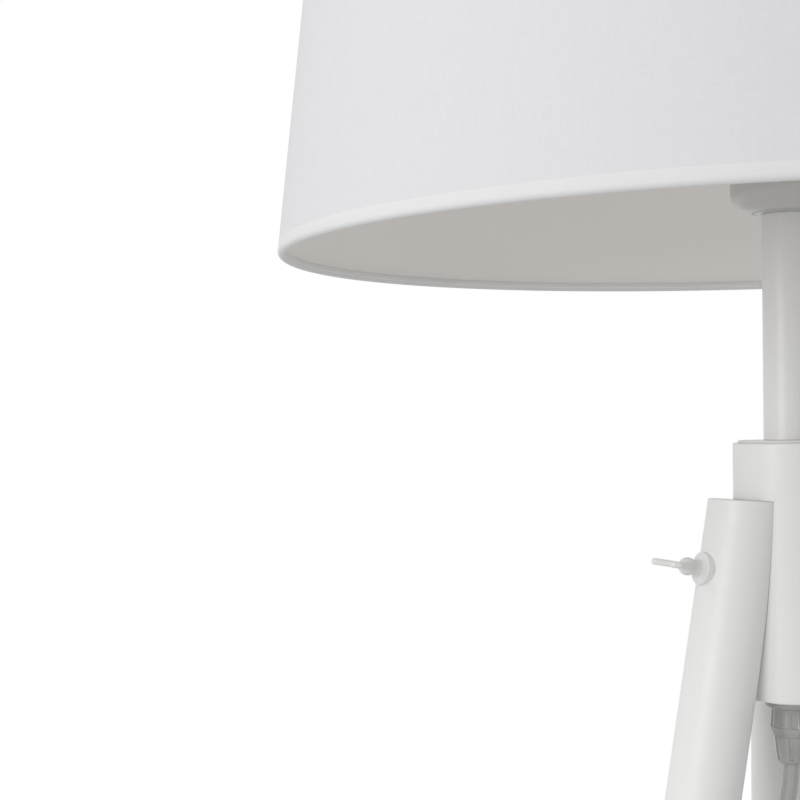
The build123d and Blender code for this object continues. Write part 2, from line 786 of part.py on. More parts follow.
make_legs()
make_hub()
make_wing_screws()
make_stem()
make_cord_grip()
make_lampholder()
make_bulb()
make_shade()
make_ring_nut()
make_cord_drop()
make_cord_coil()
make_coil_tie()
make_foot_switch()
make_plug()

os.makedirs("parts", exist_ok=True)
for node, shape in parts.items():
    export_step(shape, "parts/" + node + ".step")
print("nodes", len(parts))
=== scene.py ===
"""The tripod floor lamp's finished surfaces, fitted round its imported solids. Metres, +Z up."""
import json
import math

import bmesh
import bpy
from mathutils import Matrix, Vector


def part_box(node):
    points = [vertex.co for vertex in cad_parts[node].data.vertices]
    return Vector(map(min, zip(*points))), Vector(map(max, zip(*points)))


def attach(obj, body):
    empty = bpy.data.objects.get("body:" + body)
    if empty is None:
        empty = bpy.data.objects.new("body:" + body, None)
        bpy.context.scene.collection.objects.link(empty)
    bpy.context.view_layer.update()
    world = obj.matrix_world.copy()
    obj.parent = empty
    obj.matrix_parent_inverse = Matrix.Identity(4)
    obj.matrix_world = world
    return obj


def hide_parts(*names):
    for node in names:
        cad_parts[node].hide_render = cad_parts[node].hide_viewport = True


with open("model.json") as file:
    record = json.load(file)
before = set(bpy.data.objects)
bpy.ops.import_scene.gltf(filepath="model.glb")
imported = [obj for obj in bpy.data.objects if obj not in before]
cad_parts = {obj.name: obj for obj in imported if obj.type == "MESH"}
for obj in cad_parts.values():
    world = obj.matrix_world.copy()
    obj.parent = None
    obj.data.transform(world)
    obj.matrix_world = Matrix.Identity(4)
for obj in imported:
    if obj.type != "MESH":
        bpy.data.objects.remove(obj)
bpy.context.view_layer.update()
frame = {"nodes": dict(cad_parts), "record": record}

mm = 0.001
same_place = 1e-6
scene = bpy.context.scene


# Helpers

def span(node):
    """A CAD node's lowest and highest height, and its reach along X."""
    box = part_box(node)
    return box[0].z, box[1].z, box[1].x


def spaced(start, end, count):
    """Values from start to end in a number of equal steps, with both ends."""
    return [start + (end - start) * step / count for step in range(count + 1)]


def on_circle(radius, angle):
    return radius * math.cos(angle), radius * math.sin(angle)


def clamped(value):
    return min(max(value, 0), 1)


def eased(share):
    """A share from 0 to 1 that starts and ends gently."""
    return share * share * (3 - 2 * share)


def placed(name, data):
    """A new object in the scene."""
    made = bpy.data.objects.new(name, data)
    scene.collection.objects.link(made)
    return made


def baked(thing):
    """The final mesh of an object, which is removed."""
    depsgraph = bpy.context.evaluated_depsgraph_get()
    mesh = bpy.data.meshes.new_from_object(thing.evaluated_get(depsgraph))
    bpy.data.objects.remove(thing)
    return mesh


# Sizes that the frame's boxes don't give
leg_splay = math.radians(9.89)
leg_offset = 16.35 * mm
leg_start = 23.7 * mm
leg_top_tilt = math.radians(4.0)
leg_radius = 15.0 * mm
leg_angles = {"left": 210.0, "right": 330.0, "back": 90.0}
nipple_hole = 5.05 * mm
gallery_step = 2.0 * mm
shade_radius = 210.0 * mm
shade_taper = 0.115
cord_radius = 3.5 * mm

# Places taken from the frame
hub_low, hub_top, hub_radius = span("hub")
shade_low = span("shade_lower_hem")[0]
shade_height = span("shade_upper_hem")[1] - shade_low
lead_exit = span("cord_grip_nose")[0]


# Camera and light

def set_camera():
    """The camera of the photograph: about level with the hub's top, close to the lamp."""
    image_size = 800
    focal_pixels = 1613.8
    principal_point = (330.52, 445.82)
    place = Vector((-37.31, -691.43, 1106.04)) * mm
    yaw, pitch, roll = (math.radians(angle) for angle in (-12.763, -0.934, -0.803))
    ahead = Vector((math.sin(yaw) * math.cos(pitch), math.cos(yaw) * math.cos(pitch), math.sin(pitch)))
    level = Vector((math.cos(yaw), -math.sin(yaw), 0))
    above = level.cross(ahead)
    right = math.cos(roll) * level + math.sin(roll) * above
    up = math.cos(roll) * above - math.sin(roll) * level
    data = bpy.data.cameras.new("photo_camera")
    data.sensor_width = 36.0
    data.lens = data.sensor_width * focal_pixels / image_size
    data.shift_x = 0.5 - principal_point[0] / image_size
    data.shift_y = principal_point[1] / image_size - 0.5
    data.clip_start = 0.01
    scene.camera = placed("photo_camera", data)
    facing = Matrix((right, up, -ahead)).transposed().to_4x4()
    scene.camera.matrix_world = Matrix.Translation(place) @ facing


def add_softbox(name, place, target, size, power):
    """A square area lamp that faces a point."""
    data = bpy.data.lights.new(name, "AREA")
    data.energy = power
    data.size = size
    lamp = placed(name, data)
    lamp.location = place
    lamp.rotation_euler = (Vector(target) - Vector(place)).to_track_quat("-Z", "Y").to_euler()


# Nodes

class Value:
    """A node's output that does arithmetic: an expression on it adds Math nodes."""

    def __init__(self, nodes, socket):
        self.nodes = nodes
        self.socket = socket

    def out(self, name):
        """Another output of the same node."""
        return Value(self.nodes, self.socket.node.outputs[name])

    def math(self, operation, *others):
        inputs = dict(enumerate((self,) + others))
        return self.nodes.add("ShaderNodeMath", inputs, operation=operation)

    def __add__(self, other):
        return self.math("ADD", other)

    def __sub__(self, other):
        return self.math("SUBTRACT", other)

    def __mul__(self, other):
        return self.math("MULTIPLY", other)


class Nodes:
    """A node tree that grows node by node."""

    def __init__(self, tree):
        self.tree = tree

    def link(self, value, node, key):
        self.tree.links.new(value.socket, node.inputs[key])

    def add(self, kind, inputs=None, output=0, **settings):
        """A new node's output. Each input is a constant or another node's output."""
        made = self.tree.nodes.new(kind)
        for key, value in settings.items():
            setattr(made, key, value)
        for key, value in (inputs or {}).items():
            if isinstance(value, Value):
                self.link(value, made, key)
            else:
                made.inputs[key].default_value = value
        return Value(self, made.outputs[output])


class Paint(Nodes):
    """One finish: a material with a Principled shader whose constants are set on its own sockets."""

    def __init__(self, name, **constants):
        self.material = bpy.data.materials.new(name)
        self.material.use_nodes = True
        super().__init__(self.material.node_tree)
        self.shader = self.tree.nodes["Principled BSDF"]
        for socket, value in constants.items():
            self.shader.inputs[socket.replace("_", " ")].default_value = value

    def noise(self, scale, detail=2.0, roughness=0.5, kind="Object"):
        """Noise on the object's own coordinates or its map, with one scale or one for each axis."""
        stretch = scale if isinstance(scale, tuple) else (scale, scale, scale)
        plain = self.add("ShaderNodeTexCoord", output=kind)
        place = self.add("ShaderNodeMapping", {"Vector": plain, "Scale": stretch})
        inputs = {"Vector": place, "Scale": 1.0, "Detail": detail, "Roughness": roughness}
        return self.add("ShaderNodeTexNoise", inputs, output="Fac")

    def spread(self, noise, low, high):
        """Noise, which stays between about 0.3 and 0.7, brought to a range."""
        inputs = {"Value": noise, "From Min": 0.3, "From Max": 0.7, "To Min": low, "To Max": high}
        return self.add("ShaderNodeMapRange", inputs)

    def colour(self, factor, first, second):
        """The base colour goes from one colour to another as a factor goes from 0 to 1."""
        inputs = {"Factor": factor, 6: (*first, 1), 7: (*second, 1)}
        mixed = self.add("ShaderNodeMix", inputs, output=2, data_type="RGBA")
        self.link(mixed, self.shader, "Base Color")

    def roughen(self, noise, low, high):
        self.link(self.spread(noise, low, high), self.shader, "Roughness")

    def bump(self, height):
        """A height in metres shown as bumps."""
        inputs = {"Height": height, "Distance": 1.0, "Strength": 1.0}
        self.link(self.add("ShaderNodeBump", inputs, output="Normal"), self.shader, "Normal")


# Finishes

def surface(name, colours, mottle, rough_noise, rough, bumps=(), **constants):
    """A finish whose colour, roughness and bumps follow noises, each given as noise()'s values.

    colours and rough are the two ends of a range, and bumps are pairs of a noise and its height.
    """
    paint = Paint(name, **constants)
    paint.colour(paint.spread(paint.noise(*mottle), 0, 1), *colours)
    paint.roughen(paint.noise(*rough_noise), *rough)
    heights = [paint.noise(*noise) * height for noise, height in bumps]
    if heights:
        paint.bump(sum(heights[1:], heights[0]))
    return paint.material


def tinted(colour, share):
    """A colour and the same colour made lighter or darker."""
    return colour, tuple(share * part for part in colour)


def sprayed_paint(name, light, dark, roughness, peel, grain=0.0):
    """Sprayed paint: slight orange peel, with the wood's grain just showing through where there is wood."""
    patches, dapple, orange_peel = (9.0, 3.0), (260.0, 3.0), (620.0,)
    wood_grain = ((420.0, 9.0, 1.0), 4.0, 0.6, "UV")
    rough = (roughness - 0.05, roughness + 0.05)
    bumps = [(orange_peel, peel)]
    if grain:
        bumps.append((wood_grain, grain))
    return surface(name, (light, dark), patches, dapple, rough, bumps, Specular_IOR_Level=0.45)


def moulded_plastic(name, colour, roughness, **constants):
    """Moulded plastic with a fine spark-eroded texture and faint flow marks."""
    flow, speck = (34.0, 3.0), (1500.0,)
    rough = (roughness - 0.06, roughness + 0.06)
    return surface(name, tinted(colour, 0.93), flow, speck, rough, [(speck, 0.02 * mm)], **constants)


def turned_metal(name, colour, roughness):
    """Plated or bare metal with fine rings left by turning."""
    tarnish, rings = (130.0, 4.0), ((30.0, 30.0, 2600.0),)
    rough = (roughness - 0.07, roughness + 0.1)
    return surface(name, tinted(colour, 0.8), tarnish, tarnish, rough, [(rings, 0.012 * mm)], Metallic=1.0)


def lining_sheet(name, light, dark):
    """The shade's stiff matt lining, with very slight cloudiness and a fine calendered grain."""
    cloud, grain = (7.0, 3.0), (900.0, 3.0)
    bumps = [(grain, 0.02 * mm)]
    return surface(name, (light, dark), cloud, grain, (0.6, 0.75), bumps, Specular_IOR_Level=0.25)


def clear_plastic(name, colour, roughness):
    """See-through moulded plastic, a little cloudy."""
    cloud, ripples = (160.0, 3.0), (700.0,)
    rough = (roughness - 0.06, roughness + 0.08)
    clear = {"Transmission_Weight": 0.35, "IOR": 1.46}
    return surface(name, tinted(colour, 0.86), cloud, cloud, rough, [(ripples, 0.02 * mm)], **clear)


def opal_glass(name, light, dark):
    """White opal glass with a glossy skin."""
    cloud = (40.0, 3.0)
    skin = {"Coat_Weight": 0.6, "Coat_Roughness": 0.04}
    glow = {"Subsurface_Weight": 0.15, "Subsurface_Radius": (3 * mm, 3 * mm, 3 * mm)}
    return surface(name, (light, dark), cloud, cloud, (0.14, 0.22), **skin, **glow)


def rubber(name, colour):
    """Matt rubber with a dusty bloom."""
    bloom, grain = (90.0, 5.0), (1200.0,)
    bumps = [(grain, 0.03 * mm)]
    return surface(name, tinted(colour, 1.25), bloom, bloom, (0.65, 0.85), bumps, Specular_IOR_Level=0.3)


def woven_cloth(name, light, dark):
    """Plain weave with slightly uneven threads, on the cloth's own map."""
    threads_round, threads_up = 2600, 520
    slub_threads = 3
    slubs_up, slubs_round = 26.0, 150.0
    thread_height = 0.012 * mm
    paint = Paint(name, Specular_IOR_Level=0.2, Sheen_Weight=0.12, Sheen_Roughness=0.5)
    cloth_map = paint.add("ShaderNodeTexCoord", output="UV")
    across = paint.add("ShaderNodeSeparateXYZ", {"Vector": cloth_map}, output="X")
    warp = across * (threads_round * math.pi)
    weft = across.out("Y") * (threads_up * math.pi)
    over_under = warp.math("SINE") * weft.math("SINE")
    warp_slubs = paint.noise((threads_round / slub_threads, slubs_up, 1.0), kind="UV")
    weft_slubs = paint.noise((slubs_round, threads_up / slub_threads, 1.0), kind="UV")
    slubs = warp_slubs + weft_slubs
    lightness = paint.add("ShaderNodeMapRange", {"Value": slubs, "From Min": 0.7, "From Max": 1.3})
    paint.colour(lightness, dark, light)
    paint.roughen(weft_slubs, 0.78, 0.92)
    paint.bump(over_under * thread_height + slubs * thread_height)
    return paint.material


finishes = {}


def add_finish(maker, name, *values, **constants):
    finishes[name] = maker(name, *values, **constants)


add_finish(sprayed_paint, "painted_wood", (0.82, 0.82, 0.812), (0.8, 0.8, 0.79), 0.42, 0.05 * mm, 0.05 * mm)
add_finish(sprayed_paint, "painted_metal", (0.79, 0.79, 0.782), (0.77, 0.77, 0.76), 0.33, 0.035 * mm)
add_finish(moulded_plastic, "holder_plastic", (0.6, 0.595, 0.575), 0.36)
add_finish(moulded_plastic, "holder_core", (0.72, 0.7, 0.64), 0.5)
add_finish(turned_metal, "zinc_steel", (0.62, 0.62, 0.6), 0.34)
add_finish(turned_metal, "brass", (0.75, 0.58, 0.3), 0.3)
add_finish(moulded_plastic, "grey_plastic", (0.42, 0.42, 0.4), 0.4)
add_finish(clear_plastic, "clear_plastic", (0.62, 0.62, 0.6), 0.15)
add_finish(moulded_plastic, "cord_sheath", (0.43, 0.43, 0.425), 0.3, Coat_Weight=0.25, Coat_Roughness=0.2)
add_finish(woven_cloth, "shade_fabric", (0.74, 0.74, 0.755), (0.72, 0.72, 0.735))
add_finish(woven_cloth, "doubled_cloth", (0.77, 0.77, 0.775), (0.755, 0.755, 0.76))
add_finish(lining_sheet, "shade_lining", (0.9, 0.873, 0.85), (0.88, 0.853, 0.83))
add_finish(sprayed_paint, "white_wire", (0.78, 0.78, 0.77), (0.74, 0.74, 0.73), 0.4, 0.03 * mm)
add_finish(opal_glass, "bulb_glass", (0.86, 0.86, 0.84), (0.82, 0.82, 0.8))
add_finish(turned_metal, "bulb_metal", (0.8, 0.8, 0.79), 0.28)
add_finish(moulded_plastic, "bulb_insulator", (0.06, 0.05, 0.07), 0.25)
add_finish(rubber, "foot_pad", (0.32, 0.32, 0.31))
add_finish(moulded_plastic, "switch_plastic", (0.74, 0.74, 0.72), 0.42)
add_finish(moulded_plastic, "button_plastic", (0.62, 0.62, 0.61), 0.45)
add_finish(moulded_plastic, "switch_block", (0.3, 0.3, 0.29), 0.5)
add_finish(rubber, "coil_tie", (0.05, 0.05, 0.05))
add_finish(turned_metal, "plug_pin", (0.78, 0.77, 0.74), 0.25)
add_finish(moulded_plastic, "pin_sleeve", (0.05, 0.05, 0.05), 0.4)


# Making pieces

def show(name, mesh, slot, *nodes, body="stand", sharp=35.0, finish=None):
    """A finished mesh becomes a piece that rides on a body and stands for CAD nodes."""
    mesh.name = name
    mesh.materials.clear()
    mesh.materials.append(finishes[finish or slot])
    mesh.shade_smooth()
    mesh.set_sharp_from_angle(angle=math.radians(sharp))
    made = placed(name, mesh)
    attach(made, body)
    if nodes:
        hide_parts(*nodes)
    return made


def editable(*meshes):
    """One bmesh of several meshes."""
    shape = bmesh.new()
    for mesh in meshes:
        shape.from_mesh(mesh)
    return shape


def plain_mesh(shape, outwards=True):
    """A bmesh turned into a mesh, with its normals turned outwards or left as they are."""
    if outwards:
        bmesh.ops.recalc_face_normals(shape, faces=shape.faces)
    mesh = bpy.data.meshes.new("piece")
    shape.to_mesh(mesh)
    shape.free()
    return mesh


def rounded(corners, closed=False, steps=5):
    """A line through (radius, height, bend) corners, each bend an arc with a short lead on both sides."""
    line = []
    count = len(corners)
    for index, (radius, height, bend) in enumerate(corners):
        here = Vector((radius, height))
        if not bend or not (closed or 0 < index < count - 1):
            line.append(here)
            continue
        back = (Vector(corners[index - 1][:2]) - here).normalized()
        on = (Vector(corners[(index + 1) % count][:2]) - here).normalized()
        half = back.angle(on) / 2
        reach = bend / math.tan(half)
        lead = 0.3 * bend
        centre = here + (back + on).normalized() * (bend / math.sin(half))
        first = here + back * reach - centre
        last = here + on * reach - centre
        turn = first.angle_signed(last)
        line.append(here + back * (reach + lead))
        for step in range(steps + 1):
            line.append(centre + Matrix.Rotation(-turn * step / steps, 2) @ first)
        line.append(here + on * (reach + lead))
    return line


def lathe(line, segments=96, closed=False, swell=None, map_size=(1.0, 1.0)):
    """A line of (radius, height) turned about Z, with a map whose unit has a size in metres."""
    shape = bmesh.new()
    cloth_map = shape.loops.layers.uv.new("UVMap")
    widest = max(point.x for point in line)
    rings = []
    for radius, height in line:
        ring = []
        for step in range(1 if radius < same_place else segments):
            angle = 2 * math.pi * step / segments
            out = swell(angle, radius, height) if swell else radius
            ring.append(shape.verts.new((*on_circle(out, angle), height)))
        rings.append(ring)
    spans = list(zip(rings, rings[1:], line, line[1:]))
    if closed:
        spans.append((rings[-1], rings[0], line[-1], line[0]))
    along = 0.0
    for low, high, start, end in spans:
        after = along + (end - start).length
        for step in range(segments):
            after_step = step + 1
            spots = {}
            for ring, index, height in (
                (low, step, along), (low, after_step, along), (high, after_step, after), (high, step, after)
            ):
                vert = ring[index % len(ring)]
                across = 2 * math.pi * widest * index / segments
                spots.setdefault(vert, (across / map_size[0], height / map_size[1]))
            if len(spots) < 3:
                continue
            face = shape.faces.new(spots)
            for loop in face.loops:
                loop[cloth_map].uv = spots[loop.vert]
        along = after
    return plain_mesh(shape)


def hollow(outline, segments=96, steps=5, swell=None):
    """A closed outline of (radius, height, bend) corners turned about Z."""
    return lathe(rounded(outline, True, steps), segments, True, swell)


def washer(bore, radius, low, high, edge, bore_edge=0):
    """The outline of a flat ring or a tube."""
    return [(bore, low, bore_edge), (radius, low, edge), (radius, high, edge), (bore, high, bore_edge)]


def skin(shape, rings):
    """The faces between each ring of points and the next, in order."""
    faces = []
    for low, high in zip(rings, rings[1:]):
        for index in range(len(low)):
            after = (index + 1) % len(low)
            faces.append(shape.faces.new((low[index], low[after], high[after], high[index])))
    return faces


def joined(*meshes):
    return plain_mesh(editable(*meshes), False)


def raised(mesh, height):
    mesh.transform(Matrix.Translation((0, 0, height)))
    return mesh


def turned(mesh, degrees):
    mesh.transform(Matrix.Rotation(math.radians(degrees), 4, "Z"))
    return mesh


def leg_place(angle, along):
    """A leg's own frame: z runs down the leg from a point on its axis, x points outwards."""
    out = Vector((*on_circle(1, math.radians(angle)), 0))
    down = out * math.sin(leg_splay) - Vector((0, 0, math.cos(leg_splay)))
    across = out * math.cos(leg_splay) + Vector((0, 0, math.sin(leg_splay)))
    start = out * leg_offset + Vector((0, 0, hub_top)) + down * along
    facing = Matrix((across, down.cross(across), down)).transposed().to_4x4()
    return Matrix.Translation(start) @ facing


def softened(node, bevel):
    """A merged copy of a CAD node's mesh with its sharp edges rounded."""
    flat_limit = math.radians(0.3)
    sharp_limit = math.radians(38.0)
    shape = editable(frame["nodes"][node].data)
    bmesh.ops.remove_doubles(shape, verts=shape.verts, dist=same_place)
    bmesh.ops.dissolve_limit(shape, angle_limit=flat_limit, verts=shape.verts, edges=shape.edges)
    sharp = [edge for edge in shape.edges if edge.is_manifold and edge.calc_face_angle() > sharp_limit]
    look = {"segments": 2, "profile": 0.5, "affect": "EDGES", "clamp_overlap": True}
    bmesh.ops.bevel(shape, geom=sharp, offset=bevel, **look)
    return plain_mesh(shape)


def round_curve(name, kind, points, radius, smoothness):
    """Curve data of a round cord or wire, with one spline of a kind on its points."""
    data = bpy.data.curves.new(name, "CURVE")
    data.dimensions = "3D"
    data.bevel_depth = radius
    data.bevel_resolution = smoothness
    data.use_fill_caps = True
    spline = data.splines.new(kind)
    spline.points.add(len(points) - 1)
    for control, place in zip(spline.points, points):
        control.co = (*place, 1)
    return data


# Cords, with their routes in millimetres

def lay_cord(name, route, node):
    """A smooth round cord whose route's points are the control points of its line."""
    points = [tuple(part * mm for part in place) for place in route]
    data = round_curve(name, "NURBS", points, cord_radius, 6)
    data.resolution_u = 8
    data.splines[0].order_u = 3
    data.splines[0].use_endpoint_u = True
    data.materials.append(finishes["cord_sheath"])
    made = placed(name, data)
    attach(made, "stand")
    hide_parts(node)
    return made


exit_height = lead_exit / mm
floor_line = 3.6
switch_line = 6.5
switch_side = 85.0
drop_route = [
    (0, 0, exit_height + 4), (0, 0, exit_height - 3),
    (-2.2, -0.5, exit_height - 17), (-7, -2, exit_height - 44),
    (-15, -4.5, exit_height - 98), (-24, -8, exit_height - 190),
    (-29, -11, 668), (-28, -13, 568),
    (-22, -15, 468), (-15, -16, 370),
    (-10, -18, 274), (-11, -23, 186),
    (-22, -34, 112), (-48, -47, 54),
    (-88, -52, 14), (-130, -42, floor_line),
    (-158, -8, floor_line), (-156, 36, floor_line),
    (-126, 68, floor_line + 0.2), (-84, 82, switch_line - 0.6),
    (-56, switch_side, switch_line), (-30, switch_side, switch_line),
]


def coil_route():
    """From the foot switch into a flat coil of two layers, and out to the plug."""
    turns = 3.5
    mean_radius = 38.5
    pitch = 7.5
    climb = 0.5
    lift = 1.2
    points_in_turn = 16
    half_width = pitch * turns / 4
    inner = mean_radius - half_width
    middle_x, middle_y = 100.0, switch_side - mean_radius - half_width
    route = [(48, switch_side, switch_line), (60, switch_side, switch_line), (79, switch_side, 5.4)]
    for index in range(1, round(turns * points_in_turn)):
        turn = index / points_in_turn
        past_middle = turn - turns / 2
        share = clamped(0.5 + past_middle / climb)
        height = lift + cord_radius / mm + pitch * eased(share)
        x, y = on_circle(inner + pitch * abs(past_middle), math.pi / 2 - 2 * math.pi * turn)
        route.append((middle_x + x, middle_y + y, height))
    way_out = middle_y - mean_radius - half_width
    route += [(98, way_out, 12.1), (79, way_out, 9.4), (60, way_out, 7.2), (45, way_out, 6.85)]
    return route


set_camera()
hanging_lead = lay_cord("hanging_lead", drop_route, "cord_drop")
coiled_lead = lay_cord("coiled_lead", coil_route(), "cord_coil")


# Stand

def make_legs():
    """The legs, each with an almost level top and cut level at its foot, and the pads under them."""
    top_edge = 0.45 * mm
    top_zone = 3 * mm
    pad_edge = 0.5 * mm
    foot_line = span("foot_pad_back")[1]
    length = hub_top / math.cos(leg_splay) + 2 * leg_radius - leg_start
    outline = [(0, 0, 0), (leg_radius, 0, top_edge), (leg_radius, length, 0), (0, length, 0)]
    for name, angle in leg_angles.items():
        mesh = turned(lathe(rounded(outline)), 180)
        for vert in mesh.vertices:
            if vert.co.z < top_zone:
                vert.co.z += vert.co.x * math.tan(leg_splay - leg_top_tilt)
        mesh.transform(leg_place(angle, leg_start))
        shape = editable(mesh)
        everything = shape.verts[:] + shape.edges[:] + shape.faces[:]
        cut = bmesh.ops.bisect_plane(
            shape, geom=everything, plane_co=(0, 0, foot_line), plane_no=(0, 0, 1), clear_inner=True
        )
        rim = [edge for edge in cut["geom_cut"] if isinstance(edge, bmesh.types.BMEdge)]
        bmesh.ops.contextual_create(shape, geom=rim)
        show("painted_leg_" + name, plain_mesh(shape), "painted_wood", "leg_" + name)
        pad = "foot_pad_" + name
        show("rubber_pad_" + name, softened(pad, pad_edge), "foot_pad", pad)


# A leg's share of the hub's outline has points on the round face, on the flat beside the groove and in it
hub_face_steps = 12
hub_flat_steps = 10
hub_groove_steps = 12
hub_shoulder = math.radians(44.5)
between_legs = math.pi / 3


def mirrored(half):
    """Half of a leg's share of the hub's outline, and its mirror image beyond the groove's middle."""
    return half + [(x, -y) for x, y in reversed(half[1:-1])]


def grooved_outline(height, outside, drop):
    """A leg's share of the hub's outline at a height, in the leg's frame.

    It runs from halfway to the next leg along the round face, over an eased flat beside the groove to a lip
    that lies a drop inside the round face, and down into the groove that fits the leg.
    """
    groove = leg_radius + 0.1 * mm
    flat_ease = 0.12
    deep = groove / math.cos(leg_splay)
    reach = leg_offset + (hub_top - height) * math.tan(leg_splay)
    most = 2 * reach * deep
    spare = reach * reach + groove * groove - (outside - drop) ** 2
    root = math.sqrt(most * most - 4 * spare * (deep * deep - groove * groove))
    lip_angle = math.acos(2 * spare / (most + root))
    lip = Vector((reach - deep * math.cos(lip_angle), groove * math.sin(lip_angle)))
    shoulder = Vector(on_circle(outside, hub_shoulder))
    along = Vector((math.sin(hub_shoulder), -math.cos(hub_shoulder)))
    bend = shoulder + along * (flat_ease * (lip - shoulder).length)
    half = [on_circle(outside, angle) for angle in spaced(between_legs, hub_shoulder, hub_face_steps)[:-1]]
    for share in spaced(0, 1, hub_flat_steps)[:-1]:
        half.append(tuple(shoulder.lerp(bend, share).lerp(bend.lerp(lip, share), share)))
    for angle in spaced(lip_angle, 0, hub_groove_steps):
        half.append((reach - deep * math.cos(angle), groove * math.sin(angle)))
    return mirrored(half)


def round_outline(outside):
    """The hub's outline where it has no groove, with as many points as where it has one."""
    angles = spaced(between_legs, hub_shoulder, hub_face_steps)[:-1]
    angles += spaced(hub_shoulder, 0, hub_flat_steps + hub_groove_steps)
    return mirrored([on_circle(outside, angle) for angle in angles])


def hub_rings():
    """The rings of points of a leg's share of the hub, from its foot up the outside and down the bore."""
    roof_gap = 0.04 * mm
    end_along = leg_start - roof_gap
    end_reach = leg_offset + end_along * math.sin(leg_splay)
    end_height = hub_top - end_along * math.cos(leg_splay)
    lip_drop_top, lip_drop_foot = 0.3 * mm, 1.8 * mm
    rim = 0.8 * mm
    rim_steps = 5
    body_steps = 24
    below_roof = 2.5 * mm
    roof_edge = 0.2 * mm
    face_lift = 0.1 * mm
    plain_lifts = (4 * mm, 12 * mm)
    wide_bore = 8.05 * mm
    bore = 4.0 * mm

    def roof(x):
        return end_height + (x - end_reach) * math.tan(leg_top_tilt)

    def grooved(height, outside):
        share = (end_height - height) / (end_height - hub_low)
        return grooved_outline(height, outside, lip_drop_top + (lip_drop_foot - lip_drop_top) * share)

    def level(outline, height):
        return [(x, y, height) for x, y in outline]

    rim_line = []
    for angle in spaced(0, math.pi / 2, rim_steps):
        rim_line.append((hub_radius - rim * (1 - math.sin(angle)), rim * (1 - math.cos(angle))))
    rings = []
    for outside, lift in rim_line:
        rings.append(level(grooved(hub_low + lift, outside), hub_low + lift))
    for height in spaced(hub_low + rim, end_height - below_roof, body_steps)[1:]:
        rings.append(level(grooved(height, hub_radius), height))
    rings.append([(x, y, roof(x)) for x, y in grooved(end_height, hub_radius)])
    plain = round_outline(hub_radius)
    for share in (0.0, 0.3, 1.0):
        ring = []
        for index, (x, y) in enumerate(plain):
            on_face = index <= hub_face_steps or index >= len(plain) - hub_face_steps
            tuck = 0 if on_face else roof_edge * (1 - share) ** 2
            shrink = 1 - tuck / hub_radius
            lift = share * roof_edge + (face_lift if on_face else 0)
            ring.append((x * shrink, y * shrink, roof(x) + lift))
        rings.append(ring)
    for lift in plain_lifts:
        rings.append(level(plain, end_height + lift))
    for outside, drop in reversed(rim_line):
        rings.append(level(round_outline(outside), hub_top - drop))
    upper = span("hub_top_insert")[0]
    lower = span("hub_bottom_insert")[1]
    bores = ((wide_bore, hub_top, upper), (bore, upper, lower), (wide_bore, lower, hub_low))
    for radius, start, end in bores:
        rings.append(level(round_outline(radius), start))
        rings.append(level(round_outline(radius), end))
    return rings


def make_hub():
    """The turned hub with its three slanted grooves, which end under an almost level roof."""
    shape = bmesh.new()
    wood_map = shape.loops.layers.uv.new("UVMap")
    made = []
    for ring in hub_rings():
        whole = []
        for angle in sorted(leg_angles.values(), reverse=True):
            turn = Matrix.Rotation(math.radians(angle), 3, "Z")
            whole += [shape.verts.new(turn @ Vector(spot)) for spot in ring]
        made.append(whole)
    count = len(made[0])
    for number, face in enumerate(skin(shape, made + made[:1])):
        for loop, step in zip(face.loops, (0, 1, 1, 0)):
            place = number % count + step
            loop[wood_map].uv = (2 * math.pi * hub_radius * place / count, loop.vert.co.z)
    show("painted_hub", plain_mesh(shape), "painted_wood", "hub")


def make_stem():
    edge = 0.4 * mm
    wall = 1.5 * mm
    low, high, radius = span("hub_top_plate")
    show("top_plate", hollow(washer(nipple_hole, radius, low, high, edge)), "painted_metal", "hub_top_plate")
    low, high, radius = span("stem_tube")
    show("stem_sleeve", hollow(washer(radius - wall, radius, low, high, edge)), "painted_metal", "stem_tube")


# A wing's outline as (side, reach from the leg's face, bend), in millimetres
wing_corners = [
    (2.4, 4.6, 0.6), (5.4, 7.8, 3.0), (10.5, 15.4, 2.3), (9.0, 18.8, 1.5), (6.4, 18.8, 1.2), (1.6, 12.2, 1.4)
]


def wing_plate():
    """Both wings of a screw as one flat plate with round edges; z is its reach from the leg's face."""
    thickness = 2.7 * mm
    edge = 1.1 * mm
    edge_steps = 5
    corners = wing_corners + [(-side, reach, bend) for side, reach, bend in reversed(wing_corners)]
    outline = rounded([(side * mm, reach * mm, bend * mm) for side, reach, bend in corners], True, 6)
    shape = bmesh.new()
    count = len(outline)
    rings = []
    for side in (-1, 1):
        angles = spaced(0, math.pi / 2, edge_steps)
        for angle in angles if side > 0 else reversed(angles):
            inset = edge * (1 - math.cos(angle))
            height = side * (thickness / 2 - edge + edge * math.sin(angle))
            ring = []
            for index, point in enumerate(outline):
                along = (outline[(index + 1) % count] - outline[index - 1]).normalized()
                spot = point + Vector((-along.y, along.x)) * inset
                ring.append(shape.verts.new((spot.x, height, spot.y)))
            rings.append(ring)
    skin(shape, rings)
    shape.faces.new(rings[0])
    shape.faces.new(rings[-1])
    return plain_mesh(shape)


